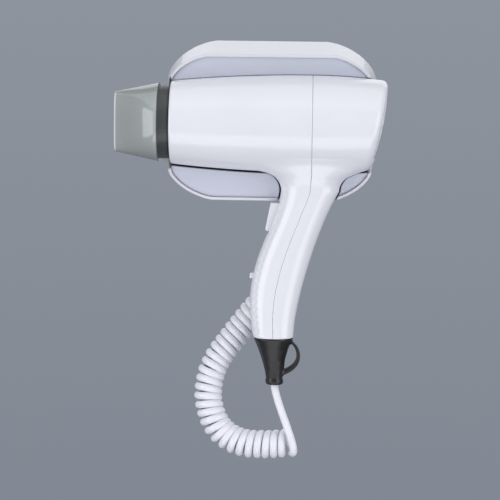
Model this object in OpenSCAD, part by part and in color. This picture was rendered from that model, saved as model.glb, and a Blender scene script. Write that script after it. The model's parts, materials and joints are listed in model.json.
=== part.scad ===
// Wall-mounted hair dryer: a handset that rests in a wall holder, with a curly cord.
// The origin is the centre of the wall plate, on the wall (the plane y = 0).
// The object stands out of the wall towards -Y, and the nozzle points to -X.

/* [Barrel] */
// Greatest outside radius of the barrel
barrel_r = 40; // [38:0.5:42]
// Distance from the wall to the barrel's axis
barrel_out = 48; // [46:0.5:50]
// Height of the barrel's axis below the centre of the wall plate
barrel_drop = 2.6; // [2:0.1:4]
// Wall thickness of the housings
wall = 2.2; // [1.8:0.1:2.6]

/* [Nozzle] */
// Length of the nozzle beyond the barrel's front edge
nozzle_len = 46.5; // [40:0.5:55]
// Height of the nozzle's mouth
mouth_h = 49; // [44:0.5:54]
// Depth of the nozzle's mouth
mouth_d = 17; // [14:0.5:22]

/* [Handle] */
// Depth of the handle, front to wall side, at its middle
handle_d = 35; // [32:0.5:38]
// Width of the trigger
trigger_w = 11; // [9:0.5:13]

/* [Holder] */
// Distance from the wall to the holder's front edge
holder_d = 47; // [45:0.5:49]
// Wall thickness of the holder's shell
shell_wall = 2.5; // [2:0.1:3]
// Gap between the handset and the cradle
cradle_gap = 1.2; // [1:0.1:1.5]
// Distance between the wall screws across
screw_dx = 120; // [110:1:130]
// Distance between the wall screws in height
screw_dz = 70; // [60:1:76]

/* [Cord] */
// Diameter of the cord
cord_d = 6.4; // [6:0.1:7]
// Outside diameter of the cord's curly part
curl_d = 24; // [22:0.5:26]

/* [Hidden] */

fine = 96;
ay = -barrel_out;
az = -barrel_drop;
front_x = -83;
crown_x = 32;
seam_x = 33.6;
rear_x = 89.9;
rear_tilt = 10.5;
cap_r = 31;
run_gap = 0.06;
e = 0.01;

// ---- small helpers -------------------------------------------------------

function bez(c, t) = let (n = len(c) - 1)
    n == 0 ? c[0] : bez([for (i = [0:n - 1]) c[i] * (1 - t) + c[i + 1] * t], t);
function unit(v) = v / norm(v);
function clampf(v) = max(0, min(1, v));

// Runs along the barrel's axis, starting at x and pointing to +X.
module on_axis(x) translate([x, ay, az]) rotate([0, 90, 0]) children();

// A ring about the barrel's axis.
module axis_ring(x0, x1, r_out, r_in) on_axis(x0) difference() {
    cylinder(h = x1 - x0, r = r_out, $fn = fine);
    translate([0, 0, -1]) cylinder(h = x1 - x0 + 2, r = r_in, $fn = fine);
}

// Works in the frame of the sloping rear end: +Z points out of the barrel.
module at_rear(turn = 0) translate([rear_x, ay, az])
    rotate([0, 90 + rear_tilt, 0]) rotate([0, 0, turn]) children();

function middle(r) = [for (p = r) 1] * r / len(r);
function ring_normal(r) = let (c = middle(r), n = len(r))
    [for (p = r) 1] * [for (i = [0:n - 1]) cross(r[i] - c, r[(i + 1) % n] - c)];
function reversed(r) = [for (i = [len(r) - 1:-1:0]) r[i]];

// A closed solid through a list of rings that all have the same number of points.
module skin(rings) {
    n = len(rings[0]);
    m = len(rings);
    outward = ring_normal(rings[0]) * (middle(rings[1]) - middle(rings[0])) < 0;
    rs = outward ? rings : [for (r = rings) reversed(r)];
    polyhedron(
        points = [for (r = rs, p = r) p],
        faces = concat(
            [[for (i = [n - 1:-1:0]) i]],
            [[for (i = [0:n - 1]) (m - 1) * n + i]],
            [for (j = [0:m - 2], i = [0:n - 1]) let (a = j * n + i, b = j * n + (i + 1) % n)
                each [[a, b, b + n], [a, b + n, a + n]]]),
        convexity = 6);
}

// A round tube of diameter d along the points of a path.
module tube(path, d, sides = 8) {
    m = len(path);
    skin([for (j = [0:m - 1]) let (
        t = unit(path[min(j + 1, m - 1)] - path[max(j - 1, 0)]),
        u = unit(cross(t, [0, 1, 0])),
        v = cross(t, u))
        [for (i = [0:sides - 1]) let (a = 360 * i / sides)
            path[j] + (u * cos(a) - v * sin(a)) * d / 2]]);
}

// A countersunk screw whose head faces +Z, with its head's face at z = 0.
module screw(length, r = 1.5) {
    translate([0, 0, -length]) cylinder(h = length - 1.5, r = r, $fn = 24);
    translate([0, 0, -1.6]) cylinder(h = 1.6, r1 = r, r2 = 2 * r, $fn = 24);
}

// ---- the barrel's outline --------------------------------------------------

front_taper = 5.9;
rear_taper = 12.5;
function barrel_at(x) = barrel_r
    - (x < crown_x ? front_taper : rear_taper) * pow((crown_x - x) / 115, 2);

// The barrel's form, larger than its outside by grow.
module barrel_form(x0, x1, grow) {
    steps = 14;
    on_axis(0) rotate_extrude($fn = fine) polygon(concat([[0, x0]],
        [for (i = [0:steps]) let (x = x0 + (x1 - x0) * i / steps) [barrel_at(x) + grow, x]],
        [[0, x1]]));
}

// The rear end's domed section: radius, and distance out of the barrel.
rear_profile = [[39, -7.4], [38, -4.6], [36.6, -2.9], [34.6, -1.7], [32, -1], [28, -0.1], [22, 0.7],
    [13, 1.5], [0, 1.8]];

// The rounded rear end: everything in front of it belongs to the barrel.
module rear_form(grow = 0) at_rear() rotate_extrude($fn = fine)
    polygon(concat([[0, -190], [70, -190], [70, -30], [42 + grow, -11]],
        [for (p = rear_profile) [max(0, p[0] + (p[0] > 0 ? grow : 0)), p[1] + grow]]));

// ---- the handle's outline --------------------------------------------------

handle_top = -58;
handle_end = -180.3;
front_edge = [8.6, 5.4, -21.3, -18.4, -12.6];
rear_edge = [56.6, 39.4, 32.9, 21.4, 20.6];
depth_curve = [1.12, 1.04, 1, 0.9, 0.82];
front_fillet = 14.8;
rear_fillet = 13.5;

function down(z) = clampf((handle_top - z) / (handle_top - handle_end));
// A concave corner of radius r above handle_top, which ends in a straight slope.
function flare(z, r) = let (u = max(0, z - handle_top) / r, c = min(u, 0.72))
    r * (1 - sqrt(1 - c * c) + (u - c) * c / sqrt(1 - c * c));
function edge_f(z) = bez(front_edge, down(z)) - flare(z, front_fillet);
function edge_r(z) = bez(rear_edge, down(z)) + flare(z, rear_fillet);
function mid_x(z) = let (k = clampf((z - handle_top) / 14))
    (1 - k) * (bez(front_edge, down(z)) + bez(rear_edge, down(z))) / 2 + k * seam_x;
function half_d(z) = handle_d / 2 * bez(depth_curve, down(z)) + flare(z, 30);

// One point of the handle's rounded section: 90..270 degrees is the front half.
function section_pt(z, a, off) = let (
    s = 0.86,
    cx = mid_x(z),
    w = (cos(a) < 0 ? cx - edge_f(z) : edge_r(z) - cx) - off,
    c = cos(a), t = sin(a))
    [cx + w * sign(c) * pow(abs(c), s), ay + (half_d(z) - off) * sign(t) * pow(abs(t), s), z];

// The same point, moved up to the middle of the barrel's wall by the share k.
function joined_pt(z, a, off, k) = let (
    p = section_pt(z, a, off),
    r = barrel_at(p[0]) - wall / 2,
    up = az - sqrt(r * r - pow(p[1] - ay, 2)))
    [p[0], p[1], z * (1 - k) + up * k];

levels = [[-44, 1], [-47, 0.35], [-51, 0], [-58, 0], [-68, 0], [-80, 0], [-93, 0], [-106, 0],
    [-120, 0], [-135, 0], [-150, 0], [-165, 0], [handle_end, 0]];

// Half of the handle's wall, from angle a0 to angle a1.
module handle_half(a0, a1) {
    n = 9;
    m = 2 * (n + 1);
    rings = [for (l = levels) concat(
        [for (i = [0:n]) joined_pt(l[0], a0 + (a1 - a0) * i / n, 0, l[1])],
        [for (i = [n:-1:0]) joined_pt(l[0], a0 + (a1 - a0) * i / n, wall, l[1])])];
    last = (len(levels) - 1) * m;
    polyhedron(
        points = [for (r = rings, p = r) p],
        faces = concat(
            [for (i = [0:n - 1]) let (o = [i, i + 1, m - 2 - i, m - 1 - i])
                each [[o[0], o[2], o[1]], [o[0], o[3], o[2]]]],
            [for (i = [0:n - 1]) let (o = [i, i + 1, m - 2 - i, m - 1 - i])
                each [[last + o[0], last + o[1], last + o[2]], [last + o[0], last + o[2], last + o[3]]]],
            [for (j = [0:len(levels) - 2], i = [0:m - 1]) let (p = j * m + i, q = j * m + (i + 1) % m)
                each [[p, q, q + m], [p, q + m, p + m]]]),
        convexity = 8);
}

// The handle's silhouette grown by gap, cut from y0 to y1.
module handle_slot(gap, y0, y1) translate([0, y1, 0]) rotate([90, 0, 0])
    linear_extrude(y1 - y0) polygon(concat(
        [for (z = [-34, -44, -47, -50, -54, -58, -64, -74]) [edge_f(z) - gap, z]],
        [for (z = [-74, -64, -58, -54, -50, -47, -44, -34]) [edge_r(z) + gap, z]]));

// ---- the holder ------------------------------------------------------------

// One rounded corner, from its end on the side to its end on the top or bottom.
function corner(cx, cz, w, h, sx, sz, n = 1.55) = let (
    pts = [for (a = [0:15:90]) [cx + sx * w * pow(cos(a), 2 / n), cz + sz * h * pow(sin(a), 2 / n)]])
    sx * sz > 0 ? pts : [for (i = [len(pts) - 1:-1:0]) pts[i]];

// The holder's size at the wall and at its face: half width, top, bottom, the width, height
// and roundness of its top corners, and the height of its bottom corners.
at_wall = [88, 65.2, -69.4, 44, 32, 1.7, 46];
at_face = [84, 53.9, -66.6, 32, 22, 1.55, 24];
holder_x = -1.1;

// The outline of that size, shrunk by off.
function holder_outline(size, off) = let (hw = size[0], top = size[1], w = size[3], h = size[4])
    concat(
        corner(hw - w, top - h, w - off, h - off, 1, 1, size[5]),
        corner(w - hw, top - h, w - off, h - off, -1, 1, size[5]),
        corner(38 - hw, size[2] + size[6], 38 - off, size[6] - off, -1, -1),
        corner(hw - 36, size[2] + size[6], 36 - off, size[6] - off, 1, -1));

// The holder's flared block, from the wall out to y = -reach.
module holder_block(off, reach, back = 0) translate([holder_x, 0, 0]) {
    thin = 0.2;
    hull() {
        translate([0, -back, 0]) rotate([90, 0, 0]) linear_extrude(thin)
            polygon(holder_outline(at_wall, off));
        translate([0, thin - reach, 0]) rotate([90, 0, 0]) linear_extrude(thin)
            polygon(holder_outline(at_wall + (at_face - at_wall) * reach / holder_d, off));
    }
}

lift_angle = 3;
bed_drop = 0.8;
lock_x = [-36, 44];

// The half-round bed that the handset lies in, larger than the barrel by gap.
module handset_room(gap) translate([0, 0, -bed_drop]) {
    barrel_form(-92, 96, gap);
    on_axis(-96) cylinder(h = 12.4, r = 36.4 + gap, $fn = fine);
}

module handle_room(gap) {
    handle_slot(gap, ay - 20, -23 + gap);
}

module wall_plate() color([0.72, 0.73, 0.75]) {
    difference() {
        intersection() {
            holder_block(shell_wall + 1.2, holder_d);
            translate([-100, -2, -100]) cube([200, 2, 200]);
        }
        for (x = [-1, 1], z = [-1, 1]) translate([x * screw_dx / 2, 1, z * screw_dz / 2])
            rotate([90, 0, 0]) cylinder(h = 4, r = 2.25, $fn = 48);
        translate([22, 1, -40]) rotate([90, 0, 0]) cylinder(h = 4, r = 7, $fn = 48);
    }
    for (x = lock_x) translate([x - 6, -16, -61]) difference() {
        cube([12, 14 + e, 3]);
        translate([6, 6, -1]) cylinder(h = 5, r = 1.5, $fn = 24);
    }
}

module holder_shell() color([0.93, 0.93, 0.96]) difference() {
    holder_block(0, holder_d);
    holder_block(shell_wall, holder_d + 1, -0.5);
    handset_room(cradle_gap + 2.6);
    handle_room(cradle_gap);
    translate([22, -13, -75]) cylinder(h = 14, r = 5, $fn = 48);
    for (x = lock_x) translate([x, -10, -75]) {
        cylinder(h = 14, r = 1.8, $fn = 24);
        cylinder(h = 7.4, r = 3.3, $fn = 24);
    }
}

module cradle_liner() color([0.80, 0.81, 0.86]) difference() {
    intersection() {
        holder_block(shell_wall + 0.15, holder_d - 2, 2.4);
        union() {
            translate([-100, 2 - holder_d, -100]) cube([200, 2, 200]);
            handset_room(cradle_gap + 1.8);
            handle_room(cradle_gap + 1.8);
        }
    }
    handset_room(cradle_gap);
    handle_room(cradle_gap);
    translate([-100, 2 - holder_d - 3, -100]) cube([200, 3, 200]);
}

module holder_screws() color([0.6, 0.6, 0.62]) for (x = lock_x) translate([x, -10, -69]) {
    cylinder(h = 10, r = 1.5, $fn = 24);
    cylinder(h = 1.4, r = 3, $fn = 24);
}

module terminal_block() color([0.92, 0.91, 0.86]) difference() {
    translate([-28, -16, -61]) cube([34, 13.9, 13]);
    for (i = [0:2]) translate([-22 + 11 * i, -17, -54.5]) rotate([-90, 0, 0]) {
        cylinder(h = 5, r = 2.6, $fn = 24);
    }
}

module holder_leads() {
    names = ["saddlebrown", "royalblue"];
    for (i = [0, 1]) color(names[i])
        tube([[20.5 + 3 * i, -13, -49], [20 + 3 * i, -12, -46 + i], [14 + 3 * i, -10, -43 + 2 * i],
            [5 - 4 * i, -9, -42 + 4 * i], [-1 - 11 * i, -9, -42 + 3 * i],
            [-4 - 11 * i, -9, -44.5 + 2 * i], [-5.5 - 11 * i, -9, -47.6]], 2);
}

module cord_gland() color([0.90, 0.90, 0.93]) translate([22, -13, 0]) difference() {
    union() {
        translate([0, 0, -75.2]) cylinder(h = 6, r1 = 5.2, r2 = 6.6, $fn = 48);
        translate([0, 0, -69.3]) cylinder(h = 6, r = 4.9, $fn = 48);
        translate([0, 0, -65.5]) cylinder(h = 2, r = 6.2, $fn = 48);
    }
    translate([0, 0, -76]) cylinder(h = 15, r = cord_d / 2, $fn = 48);
}

module holder_cord_clamp() color([0.86, 0.86, 0.88]) difference() {
    translate([12, -18.6, -59]) cube([20, 5, 8]);
    translate([22, -13, -60]) cylinder(h = 10, r = cord_d / 2, $fn = 32);
    for (x = [14.6, 29.4]) translate([x, -19, -55]) rotate([-90, 0, 0])
        cylinder(h = 6, r = 1.5, $fn = 24);
}

module holder_clamp_screws() color([0.6, 0.6, 0.62]) for (x = [14.6, 29.4])
    translate([x, -18.6, -55]) rotate([90, 0, 0]) {
        translate([0, 0, -16.6]) cylinder(h = 16.6, r = 1.5, $fn = 24);
        cylinder(h = 1.2, r = 2.3, $fn = 24);
    }

// ---- the handset's casing --------------------------------------------------

pin_x = 3.5;
pin_z = -88;
slot_w = trigger_w + 0.8;
slide_z = -129;
slide_x = edge_f(slide_z);
screw_z = [-104, -163];

module barrel_wall(x0, x1) difference() {
    intersection() {
        barrel_form(x0, x1, 0);
        rear_form();
    }
    intersection() {
        barrel_form(front_x + 3, 110, -wall);
        rear_form(-5);
    }
    at_rear() translate([0, 0, -18]) cylinder(h = 12.6, r = 34.4, $fn = fine);
}

// The opening from the barrel down into the handle.
module neck_opening() translate([0, 0, -50]) linear_extrude(24)
    polygon([for (i = [0:19]) let (p = section_pt(-52, 18 * i, wall + 0.8)) [p[0], p[1]]]);

module front_housing() color([0.94, 0.94, 0.97]) {
    difference() {
        union() {
            difference() {
                barrel_wall(front_x, seam_x);
                neck_opening();
            }
            handle_half(90, 270);
        }
        on_axis(front_x - 1) cylinder(h = 6, r = 30.05, $fn = fine);
        translate([-12, ay - slot_w / 2, pin_z - 5.4]) cube([24, slot_w, 26.6]);
        translate([slide_x - 3, ay - 2.6, slide_z - 6]) cube([8, 5.2, 12]);
    }
    for (z = screw_z) translate([edge_f(z) + 1, ay, z]) rotate([0, 90, 0]) difference() {
        cylinder(h = mid_x(z) - edge_f(z) - 1, r = 3.4, $fn = 32);
        translate([0, 0, 4]) cylinder(h = 40, r = 1.5, $fn = 24);
    }
    for (s = [-1, 1]) translate([pin_x, ay + s * 8, pin_z]) rotate([90, 0, 0]) difference() {
        cylinder(h = 3, r = 2.8, center = true, $fn = 32);
        cylinder(h = 4, r = 1.3, center = true, $fn = 32);
    }
}

module rear_housing() color([0.93, 0.93, 0.96]) difference() {
    union() {
        difference() {
            barrel_wall(seam_x, 110);
            neck_opening();
            at_rear() translate([0, 0, -20]) cylinder(h = 30, r = cap_r - 1.6, $fn = fine);
            at_rear() translate([0, 0, -2.4]) cylinder(h = 10, r = cap_r + 0.3, $fn = fine);
            for (i = [0:2]) at_rear(120 * i + 30) translate([cap_r - 4, -5, -20]) cube([4.1, 10, 40]);
        }
        handle_half(-90, 90);
        for (z = screw_z) translate([mid_x(z), ay, z]) rotate([0, 90, 0])
            cylinder(h = edge_r(z) - mid_x(z) - 1, r = 4.4, $fn = 32);
    }
    for (z = screw_z) translate([mid_x(z) - 1, ay, z]) rotate([0, 90, 0]) {
        cylinder(h = 30, r = 1.7, $fn = 24);
        translate([0, 0, 5]) cylinder(h = 30, r = 3.1, $fn = 24);
    }
}

module housing_screws() color([0.55, 0.55, 0.57]) for (z = screw_z)
    translate([mid_x(z) + 5.6, ay, z]) rotate([0, 90, 0]) {
        translate([0, 0, -15.6]) cylinder(h = 14, r = 1.5, $fn = 24);
        translate([0, 0, -1.6]) cylinder(h = 1.8, r = 2.8, $fn = 24);
    }

// ---- air path --------------------------------------------------------------

module outlet_collar() color([0.12, 0.12, 0.13]) {
    axis_ring(front_x - 11, front_x + 14, 30, 28.4);
    axis_ring(front_x + 3, front_x + 5, 32, 29);
}

module outlet_grille() color([0.16, 0.16, 0.17]) {
    x0 = front_x - 6;
    for (r = [7, 14, 21]) axis_ring(x0, x0 + 1.6, r + 0.5, r - 0.5);
    axis_ring(x0, x0 + 3, 28.4, 27);
    for (i = [0:3]) on_axis(x0) rotate([0, 0, 45 * i]) translate([-27.5, -0.5, 0]) cube([55, 1, 1.6]);
}

module heater_sleeve() color([0.82, 0.78, 0.66]) {
    axis_ring(front_x + 14, -6, 29.6, 28.6);
    axis_ring(-8, -6, 36.2, 29);
}

module mica_boards() color([0.80, 0.74, 0.58]) difference() {
    union() for (a = [0, 90]) on_axis(-66) rotate([0, 0, a])
        translate([-28.5, -0.5, 0]) cube([57, 1, 54]);
    for (i = [0:6]) on_axis(-62 + 7.4 * i) rotate_extrude($fn = 48)
        translate([24, 0]) circle(r = 1.25, $fn = 16);
}

module heating_coils() color([0.70, 0.52, 0.42]) for (i = [0:6])
    on_axis(-62 + 7.4 * i) rotate_extrude($fn = 48) translate([24, 0]) circle(r = 1.2, $fn = 16);

module thermostat() color([0.85, 0.86, 0.88]) translate([-40, ay - 11, az + 0.5]) {
    cylinder(h = 4, r = 5, $fn = 32);
    translate([-8, -2, 0]) cube([16, 4, 0.8]);
}

module thermal_fuse() color([0.88, 0.88, 0.90]) translate([-40, ay + 11, az - 2.3])
    rotate([0, 90, 0]) {
        cylinder(h = 11, r = 1.8, $fn = 24);
        translate([0, 0, -5]) cylinder(h = 21, r = 0.5, $fn = 16);
    }

module fan_duct() color([0.88, 0.88, 0.90]) {
    axis_ring(-6, 66, 36.4, 34.8);
    axis_ring(12, 38, 16, 14.2);
    for (i = [0:6]) on_axis(14) rotate([0, 0, 360 * i / 7]) translate([15.6, 0, 11])
        rotate([18, 0, 0]) translate([0, -0.8, -11]) cube([19.6, 1.6, 22]);
}

module motor_can() color([0.70, 0.71, 0.73]) on_axis(10) difference() {
    cylinder(h = 30, r = 14, $fn = 64);
    translate([0, 0, 1.2]) cylinder(h = 30, r = 13, $fn = 64);
    translate([0, 0, -1]) cylinder(h = 4, r = 3, $fn = 32);
}

module motor_magnets() color([0.25, 0.25, 0.27]) on_axis(14) difference() {
    cylinder(h = 20, r = 13, $fn = 64);
    translate([0, 0, -1]) cylinder(h = 22, r = 10.6, $fn = 64);
    translate([-14, -3, -1]) cube([28, 6, 22]);
}

module motor_end_cap() color([0.20, 0.20, 0.22]) on_axis(38) difference() {
    cylinder(h = 2, r = 13, $fn = 64);
    translate([0, 0, -1]) cylinder(h = 4, r = 3, $fn = 32);
}

module motor_bushes() color([0.72, 0.60, 0.35]) for (x = [8.6, 37.6]) on_axis(x) difference() {
    cylinder(h = 3.2, r = 3, $fn = 32);
    translate([0, 0, -1]) cylinder(h = 6, r = 1.6 + run_gap, $fn = 32);
}

module rectifier_board() color([0.20, 0.38, 0.25]) {
    on_axis(3) difference() {
        cylinder(h = 1.4, r = 13, $fn = 48);
        translate([0, 0, -1]) cylinder(h = 4, r = 4.5, $fn = 32);
    }
    for (s = [-1, 1], y = [-1, 1]) color([0.1, 0.1, 0.1])
        translate([4.4, ay + y * 8 - 2.5, az + s * 5.5 - 1.4]) cube([2.8, 5, 2.8]);
}

module motor_shaft() color([0.78, 0.79, 0.80]) on_axis(7) cylinder(h = 53, r = 1.6, $fn = 32);

module motor_rotor() color([0.66, 0.42, 0.26]) on_axis(13.5) difference() {
    union() {
        cylinder(h = 19, r = 10, $fn = 48);
        cylinder(h = 23, r = 4, $fn = 32);
    }
    for (i = [0:4]) rotate([0, 0, 72 * i]) translate([6, -1, -1]) cube([6, 2, 21]);
    translate([0, 0, -1]) cylinder(h = 30, r = 1.6, $fn = 32);
}

module impeller() color([0.86, 0.86, 0.88]) {
    on_axis(44.5) difference() {
        union() {
            cylinder(h = 16, r = 9, $fn = 48);
            translate([0, 0, 15]) cylinder(h = 3, r1 = 9, r2 = 5, $fn = 48);
        }
        translate([0, 0, -1]) cylinder(h = 16.6, r = 1.6, $fn = 32);
        translate([0, 0, -1]) difference() {
            cylinder(h = 12, r = 7.4, $fn = 48);
            cylinder(h = 12, r = 3.4, $fn = 32);
        }
    }
    intersection() {
        on_axis(44) difference() {
            cylinder(h = 20, r = 34.2, $fn = fine);
            cylinder(h = 40, r = 8.2, center = true, $fn = 48);
        }
        union() for (i = [0:8]) on_axis(53) rotate([0, 0, 40 * i]) rotate([48, 0, 0])
            translate([7, -0.7, -10]) cube([29, 1.4, 20]);
    }
}

module filter_cap() color([0.90, 0.90, 0.93]) at_rear() difference() {
    union() {
        intersection() {
            translate([0, 0, -2.2]) cylinder(h = 6, r = cap_r, $fn = fine);
            rotate_extrude($fn = fine) polygon(concat([[0, -8], [39, -8]], rear_profile));
        }
        translate([0, 0, -8.4]) cylinder(h = 6.6, r = cap_r - 2, $fn = fine);
        for (i = [0:2]) rotate([0, 0, 120 * i]) translate([cap_r - 4, -4, -8.4]) cube([3.8, 8, 2]);
    }
    translate([0, 0, -9]) cylinder(h = 8, r = cap_r - 3.6, $fn = fine);
    for (r = [6, 10.6, 15.2, 19.8, 24.4]) translate([0, 0, -2]) difference() {
        cylinder(h = 5, r = r + 1.5, $fn = 64);
        translate([0, 0, -1]) cylinder(h = 7, r = r - 1.5, $fn = 64);
        for (i = [0:5]) rotate([0, 0, 30 * i]) translate([-40, -0.9, -1]) cube([80, 1.8, 7]);
    }
    rotate([0, 0, -95]) translate([cap_r + 0.6, 0, 0]) cylinder(h = 6, r = 2, $fn = 32, center = true);
}

module filter_mesh() color([0.45, 0.46, 0.48]) at_rear() translate([0, 0, -1.8]) {
    difference() {
        cylinder(h = 0.8, r = cap_r - 3.8, $fn = fine);
        translate([0, 0, -1]) cylinder(h = 3, r = cap_r - 5.2, $fn = fine);
    }
    for (a = [0, 90], i = [-3:3]) rotate([0, 0, a]) let (c = 6.6 * i, w = sqrt(26.6 * 26.6 - c * c))
        translate([-w, c - 0.4, 0]) cube([2 * w, 0.8, 0.8]);
}

// ---- the nozzle ------------------------------------------------------------

mouth_x = front_x - 1.2 - nozzle_len + 1;
base_x = front_x - 1.2;

// A section of the nozzle: k = 0 at the round base and 1 at the flat mouth.
function nozzle_ring(k, off) = let (
    x = base_x + (mouth_x - base_x) * k,
    hz = 34.4 * (1 - k) + mouth_h / 2 * k - off,
    flat = pow(cos(90 * clampf((k - 0.12) / 0.88)), 1.2),
    hy = 34.4 * flat + mouth_d / 2 * (1 - flat) - off,
    s = 1 - 0.3 * k)
    [for (i = [0:35]) let (a = 10 * i) [x, ay + hy * sign(sin(a)) * pow(abs(sin(a)), s),
        az + hz * sign(cos(a)) * pow(abs(cos(a)), s)]];

module nozzle() color([0.62, 0.64, 0.65, 0.55]) {
    steps = [0, 0.1, 0.22, 0.36, 0.52, 0.7, 0.86, 1];
    difference() {
        skin([for (k = steps) nozzle_ring(k, 0)]);
        difference() {
            skin([for (k = [-0.02, 0.1, 0.22, 0.36, 0.52, 0.7, 0.86, 1.02]) nozzle_ring(k, 2)]);
            on_axis(base_x - 7) cylinder(h = 9, r = 40, $fn = fine);
        }
        on_axis(base_x - 10.6) cylinder(h = 12, r = 30 + run_gap, $fn = fine);
    }
}

// ---- the controls ----------------------------------------------------------

module trigger() color([0.92, 0.92, 0.95]) difference() {
    union() {
        translate([0, ay + trigger_w / 2, 0]) rotate([90, 0, 0]) linear_extrude(trigger_w)
            polygon([[0.3, -67.8], [-3.9, -89.3], [-3.2, -91.2], [0, -91.4], [pin_x + 3, -88],
                [pin_x + 4.5, -80], [12.5, -69], [12.5, -67.8]]);
        translate([pin_x, ay, pin_z]) rotate([90, 0, 0])
            cylinder(h = trigger_w, r = 3, center = true, $fn = 32);
    }
    translate([pin_x, ay, pin_z]) rotate([90, 0, 0])
        cylinder(h = 30, r = 1.3 + run_gap, center = true, $fn = 32);
    translate([-5, -45.5, -67.9]) rotate([-lift_angle - 3, 0, 0]) cube([30, 10, 6]);
}

module trigger_pin() color([0.78, 0.79, 0.80]) translate([pin_x, ay, pin_z]) rotate([90, 0, 0])
    cylinder(h = 19, r = 1.3, center = true, $fn = 32);

module trigger_spring() color([0.75, 0.76, 0.78]) translate([16.2, ay, -72]) rotate([0, 90, 0])
    for (i = [0:2]) translate([0, 0, 1.3 * i - 0.7]) rotate_extrude($fn = 32)
        translate([2.2, 0]) circle(r = 0.35, $fn = 16);

module microswitch() color([0.12, 0.12, 0.13]) {
    translate([19.4, ay - 3.2, -79]) cube([6.4, 6.4, 14]);
    translate([18.8, ay - 1.6, -72.6 - 4]) cube([0.8, 3.2, 3]);
    for (z = [-77, -73, -69]) translate([25.7, ay - 1.5, z]) cube([3, 3, 0.8]);
}

module speed_slider() color([0.90, 0.90, 0.93]) translate([slide_x, ay, slide_z]) {
    translate([-2.6, -2.2, -2.4]) cube([6, 4.4, 4.8]);
    translate([3.2, -2.2, -2.4]) cube([2, 4.4, 4.8]);
    translate([5, -3.6, -4]) cube([1.2, 7.2, 8]);
}

module slide_switch() color([0.15, 0.15, 0.16]) translate([slide_x, ay, slide_z]) {
    translate([6.4, -3.6, -8]) cube([6, 7.2, 16]);
    for (z = [-5, 0, 5]) translate([12.3, -1.5, z - 0.4]) cube([3, 3, 0.8]);
}

module noise_capacitor() color([0.80, 0.66, 0.20]) translate([10, ay - 4, -151]) cube([10, 8, 14]);

module handle_leads() {
    shades = ["black", "firebrick", "white"];
    for (i = [0:2]) let (x = 2.4 * i - 2.4) color(shades[i])
        tube([[5.4 + x, ay, -170], [5.4 + x, ay + 2.6, -169.8], [5.2 + x, ay + 6, -168.4],
            [4.8 + x, ay + 8, -164], [4.6 + x, ay + 8.4, -150], [7 + x, ay + 8.4, -130],
            [13 + x, ay + 8.4, -112], [19 + x, ay + 8.4, -95], [25 + x, ay + 8.4, -80],
            [30 + x, ay + 8.4, -64], [33 + x, ay + 8.4, -46]], 2);
}

// ---- the cord's end at the handset -----------------------------------------

function relief_ring(z, w, d, cx, off = 0) = [for (i = [0:27]) let (a = -360 * i / 28)
    [cx + w * cos(a), ay + d * sin(a), z]];

module strain_relief() color([0.09, 0.09, 0.09]) {
    difference() {
        union() {
            skin([
                relief_ring(-220, 6.4, 6.4, 5.4), relief_ring(-218.8, 7.3, 7.3, 5.4),
                relief_ring(-216.4, 7.5, 7.5, 5.3), relief_ring(-214.6, 6.9, 6.9, 5.2),
                relief_ring(-209, 7.6, 7.6, 5), relief_ring(-199, 9.5, 9.3, 4.2),
                relief_ring(-189.5, 12.6, 11.5, 3.9), relief_ring(-182.5, 15.9, 13.7, 4),
                relief_ring(-180.4, 16.4, 14.2, 4), relief_ring(-180.35, 13.9, 11.8, 4),
                relief_ring(-174, 13.9, 11.8, 4)]);
            translate([0, ay + 3, 0]) rotate([90, 0, 0]) linear_extrude(6) loop_outline();
        }
        translate([5.4, ay, -230]) cylinder(h = 60, r = cord_d / 2, $fn = 32);
        translate([4, ay, -177]) cylinder(h = 6, r = 9.4, $fn = 32);
    }
}

// The hanging loop beside the strain relief.
module loop_outline() difference() {
    polygon([for (i = [0:18]) bez([[12, -180.4], [29, -183], [34, -204], [20, -211], [6, -214]],
        i / 18), [6, -181]]);
    polygon([for (i = [0:18]) bez([[17.4, -184.6], [25.5, -188], [27, -203], [18, -204],
        [12.6, -207.6]], i / 18), [13.2, -199], [15.4, -190]]);
}

module handset_cord_clamp() color([0.86, 0.86, 0.88]) difference() {
    translate([-3.6, ay - 6.6, -173.6]) cube([16, 5, 6]);
    translate([5.4, ay, -180]) cylinder(h = 20, r = cord_d / 2, $fn = 32);
    for (x = [-1.2, 10]) translate([x, ay - 8, -170.6]) rotate([-90, 0, 0])
        cylinder(h = 8, r = 1.2, $fn = 24);
}

module handset_clamp_screws() color([0.6, 0.6, 0.62]) for (x = [-1.2, 10])
    translate([x, ay - 6.6, -170.6]) rotate([90, 0, 0]) {
        translate([0, 0, -9]) cylinder(h = 9, r = 1.2, $fn = 24);
        cylinder(h = 1.2, r = 2, $fn = 24);
    }

// ---- the cord --------------------------------------------------------------

tail_route = [[5.4, -48, -171.4], [5.4, -48, -190], [5.4, -48, -219.6], [6.4, -49.5, -225.6],
    [8.8, -52, -233.6], [12.3, -55, -243], [16.2, -58, -253], [19.8, -59.6, -263], [22, -59.5, -271],
    [22.4, -57, -277]];
coil_route = [[19, -47.6, -269.6], [12, -47, -270.4], [3.5, -46, -271.4], [-5, -45, -271.8],
    [-13.4, -43.6, -272], [-20.8, -42, -271.2], [-27.6, -40, -269.4], [-33.8, -38, -266.4],
    [-39, -36.5, -262.4], [-43.4, -35, -257], [-47, -33, -250], [-49.4, -31, -242.6],
    [-50.8, -29, -234.6], [-50.6, -27, -226.8], [-49.4, -25, -219.4], [-47.6, -23.5, -212.6],
    [-42.4, -20.8, -201.6], [-34.6, -18.4, -190.6], [-26, -16, -179.2], [-17, -14, -167.6],
    [-8.6, -13.4, -157.2], [-1, -13, -145], [4, -13, -130], [8, -13, -114], [11.4, -13, -98]];
lead_route = [[12.6, -13, -94], [14, -13, -88], [17, -13, -83], [20.6, -13, -78.6],
    [22, -13, -74], [22, -13, -66], [22, -13, -58], [22, -13, -50]];

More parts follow.
